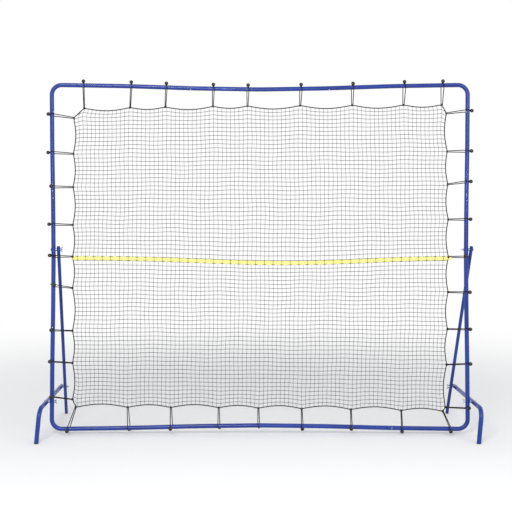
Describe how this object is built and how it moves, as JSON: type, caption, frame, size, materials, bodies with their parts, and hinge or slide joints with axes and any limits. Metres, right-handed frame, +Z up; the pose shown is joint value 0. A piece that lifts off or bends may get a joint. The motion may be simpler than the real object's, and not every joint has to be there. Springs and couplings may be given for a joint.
{
  "type": "tennis rebound net",
  "caption": "Free-standing steel tube frame on folding rear legs and foot bars, with a square-mesh net held inside it by elastic ball cords.",
  "frame": {"origin": "on the floor, under the middle of the bounding box", "axes": "+X to the right as the player sees it, +Y away from the player to the rear legs, +Z up"},
  "size_m": [2.8344, 0.8632, 2.3168],
  "materials": {
    "blue_paint": "gloss powder coat",
    "zinc_plate": "bright zinc plate",
    "bright_button": "polished steel",
    "black_plug": "moulded, matt",
    "net_cord": "knitted polyethylene cord",
    "elastic_cord": "braided elastic cord",
    "net_tape": "flat woven tape"
  },
  "bodies": {
    "frame": {"top_centre": "blue_paint", "base_centre": "blue_paint", "top_corner_left": "blue_paint", "side_upper_left": "blue_paint", "side_middle_left": "blue_paint", "base_corner_left": "blue_paint", "top_corner_right": "blue_paint", "side_upper_right": "blue_paint", "side_middle_right": "blue_paint", "base_corner_right": "blue_paint", "bolt_leg_left": "zinc_plate", "bolt_bar_left": "zinc_plate", "spacer_leg_left": "zinc_plate", "spacer_bar_left": "zinc_plate", "bolt_leg_right": "zinc_plate", "bolt_bar_right": "zinc_plate", "spacer_leg_right": "zinc_plate", "spacer_bar_right": "zinc_plate", "net": "net_cord", "tape": "net_tape", "ties_top": "elastic_cord", "ties_base": "elastic_cord", "ties_left": "elastic_cord", "ties_right": "elastic_cord"},
    "leg_left": {"leg_left": "blue_paint", "plug_leg_left": "black_plug", "bolt_rear_stud_left": "zinc_plate", "washer_rear_left": "zinc_plate"},
    "foot_bar_left": {"foot_bar_left": "blue_paint", "plug_bar_left": "black_plug", "bolt_rear_head_left": "zinc_plate"},
    "wing_nut_leg_left": {"wing_nut_leg_left": "zinc_plate"},
    "wing_nut_bar_left": {"wing_nut_bar_left": "zinc_plate"},
    "wing_nut_rear_left": {"wing_nut_rear_left": "zinc_plate"},
    "button_top_left": {"button_top_left": "bright_button"},
    "button_corner_left": {"button_corner_left": "bright_button"},
    "button_upper_left": {"button_upper_left": "bright_button"},
    "button_lower_left": {"button_lower_left": "bright_button"},
    "button_base_left": {"button_base_left": "bright_button"},
    "leg_right": {"leg_right": "blue_paint", "plug_leg_right": "black_plug", "bolt_rear_stud_right": "zinc_plate", "washer_rear_right": "zinc_plate"},
    "foot_bar_right": {"foot_bar_right": "blue_paint", "plug_bar_right": "black_plug", "bolt_rear_head_right": "zinc_plate"},
    "wing_nut_leg_right": {"wing_nut_leg_right": "zinc_plate"},
    "wing_nut_bar_right": {"wing_nut_bar_right": "zinc_plate"},
    "wing_nut_rear_right": {"wing_nut_rear_right": "zinc_plate"},
    "button_top_right": {"button_top_right": "bright_button"},
    "button_corner_right": {"button_corner_right": "bright_button"},
    "button_upper_right": {"button_upper_right": "bright_button"},
    "button_lower_right": {"button_lower_right": "bright_button"},
    "button_base_right": {"button_base_right": "bright_button"}
  },
  "joints": [
    {"name": "leg_left_fold", "type": "hinge", "parent": "frame", "child": "leg_left", "pos_m": [-1.32004, -0.18746, 1.208], "axis": [1, 0, 0], "range_deg": [-20, 0]},
    {"name": "foot_bar_left_fold", "type": "hinge", "parent": "frame", "child": "foot_bar_left", "pos_m": [-1.36178, -0.18746, 0.215], "axis": [1, 0, 0], "range_deg": [0, 90]},
    {"name": "leg_right_fold", "type": "hinge", "parent": "frame", "child": "leg_right", "pos_m": [1.36411, -0.18746, 1.208], "axis": [1, 0, 0], "range_deg": [-20, 0]},
    {"name": "foot_bar_right_fold", "type": "hinge", "parent": "frame", "child": "foot_bar_right", "pos_m": [1.37605, -0.18746, 0.215], "axis": [1, 0, 0], "range_deg": [0, 24]},
    {"name": "wing_nut_leg_left_turn", "type": "hinge", "parent": "frame", "child": "wing_nut_leg_left", "pos_m": [-1.32004, -0.18746, 1.208], "axis": [1, 0, 0], "continuous": true},
    {"name": "wing_nut_bar_left_turn", "type": "hinge", "parent": "frame", "child": "wing_nut_bar_left", "pos_m": [-1.36178, -0.18746, 0.215], "axis": [1, 0, 0], "continuous": true},
    {"name": "wing_nut_rear_left_turn", "type": "hinge", "parent": "leg_left", "child": "wing_nut_rear_left", "pos_m": [-1.34913, 0.3115, 0.215], "axis": [1, 0, 0], "continuous": true},
    {"name": "wing_nut_leg_right_turn", "type": "hinge", "parent": "frame", "child": "wing_nut_leg_right", "pos_m": [1.36411, -0.18746, 1.208], "axis": [1, 0, 0], "continuous": true},
    {"name": "wing_nut_bar_right_turn", "type": "hinge", "parent": "frame", "child": "wing_nut_bar_right", "pos_m": [1.37605, -0.18746, 0.215], "axis": [1, 0, 0], "continuous": true},
    {"name": "wing_nut_rear_right_turn", "type": "hinge", "parent": "leg_right", "child": "wing_nut_rear_right", "pos_m": [1.3634, 0.3115, 0.215], "axis": [1, 0, 0], "continuous": true},
    {"name": "button_top_left_press", "type": "slide", "parent": "frame", "child": "button_top_left", "axis": [0, 0.7071, 0.7071], "range_m": [0, 0.006], "stiffness_N_per_m": 800, "springref_m": -0.001},
    {"name": "button_corner_left_press", "type": "slide", "parent": "frame", "child": "button_corner_left", "axis": [-0.7071, 0.7071, 0], "range_m": [0, 0.006], "stiffness_N_per_m": 800, "springref_m": -0.001},
    {"name": "button_upper_left_press", "type": "slide", "parent": "frame", "child": "button_upper_left", "axis": [0, 1, 0], "range_m": [0, 0.006], "stiffness_N_per_m": 800, "springref_m": -0.001},
    {"name": "button_lower_left_press", "type": "slide", "parent": "frame", "child": "button_lower_left", "axis": [0, 1, 0], "range_m": [0, 0.006], "stiffness_N_per_m": 800, "springref_m": -0.001},
    {"name": "button_base_left_press", "type": "slide", "parent": "frame", "child": "button_base_left", "axis": [0, -1, 0], "range_m": [0, 0.006], "stiffness_N_per_m": 800, "springref_m": -0.001},
    {"name": "button_top_right_press", "type": "slide", "parent": "frame", "child": "button_top_right", "axis": [0, 0.7071, 0.7071], "range_m": [0, 0.006], "stiffness_N_per_m": 800, "springref_m": -0.001},
    {"name": "button_corner_right_press", "type": "slide", "parent": "frame", "child": "button_corner_right", "axis": [0.7071, 0.7071, 0], "range_m": [0, 0.006], "stiffness_N_per_m": 800, "springref_m": -0.001},
    {"name": "button_upper_right_press", "type": "slide", "parent": "frame", "child": "button_upper_right", "axis": [0, -1, 0], "range_m": [0, 0.006], "stiffness_N_per_m": 800, "springref_m": -0.001},
    {"name": "button_lower_right_press", "type": "slide", "parent": "frame", "child": "button_lower_right", "axis": [0, -1, 0], "range_m": [0, 0.006], "stiffness_N_per_m": 800, "springref_m": -0.001},
    {"name": "button_base_right_press", "type": "slide", "parent": "frame", "child": "button_base_right", "axis": [0, 1, 0], "range_m": [0, 0.006], "stiffness_N_per_m": 800, "springref_m": -0.001}
  ]
}
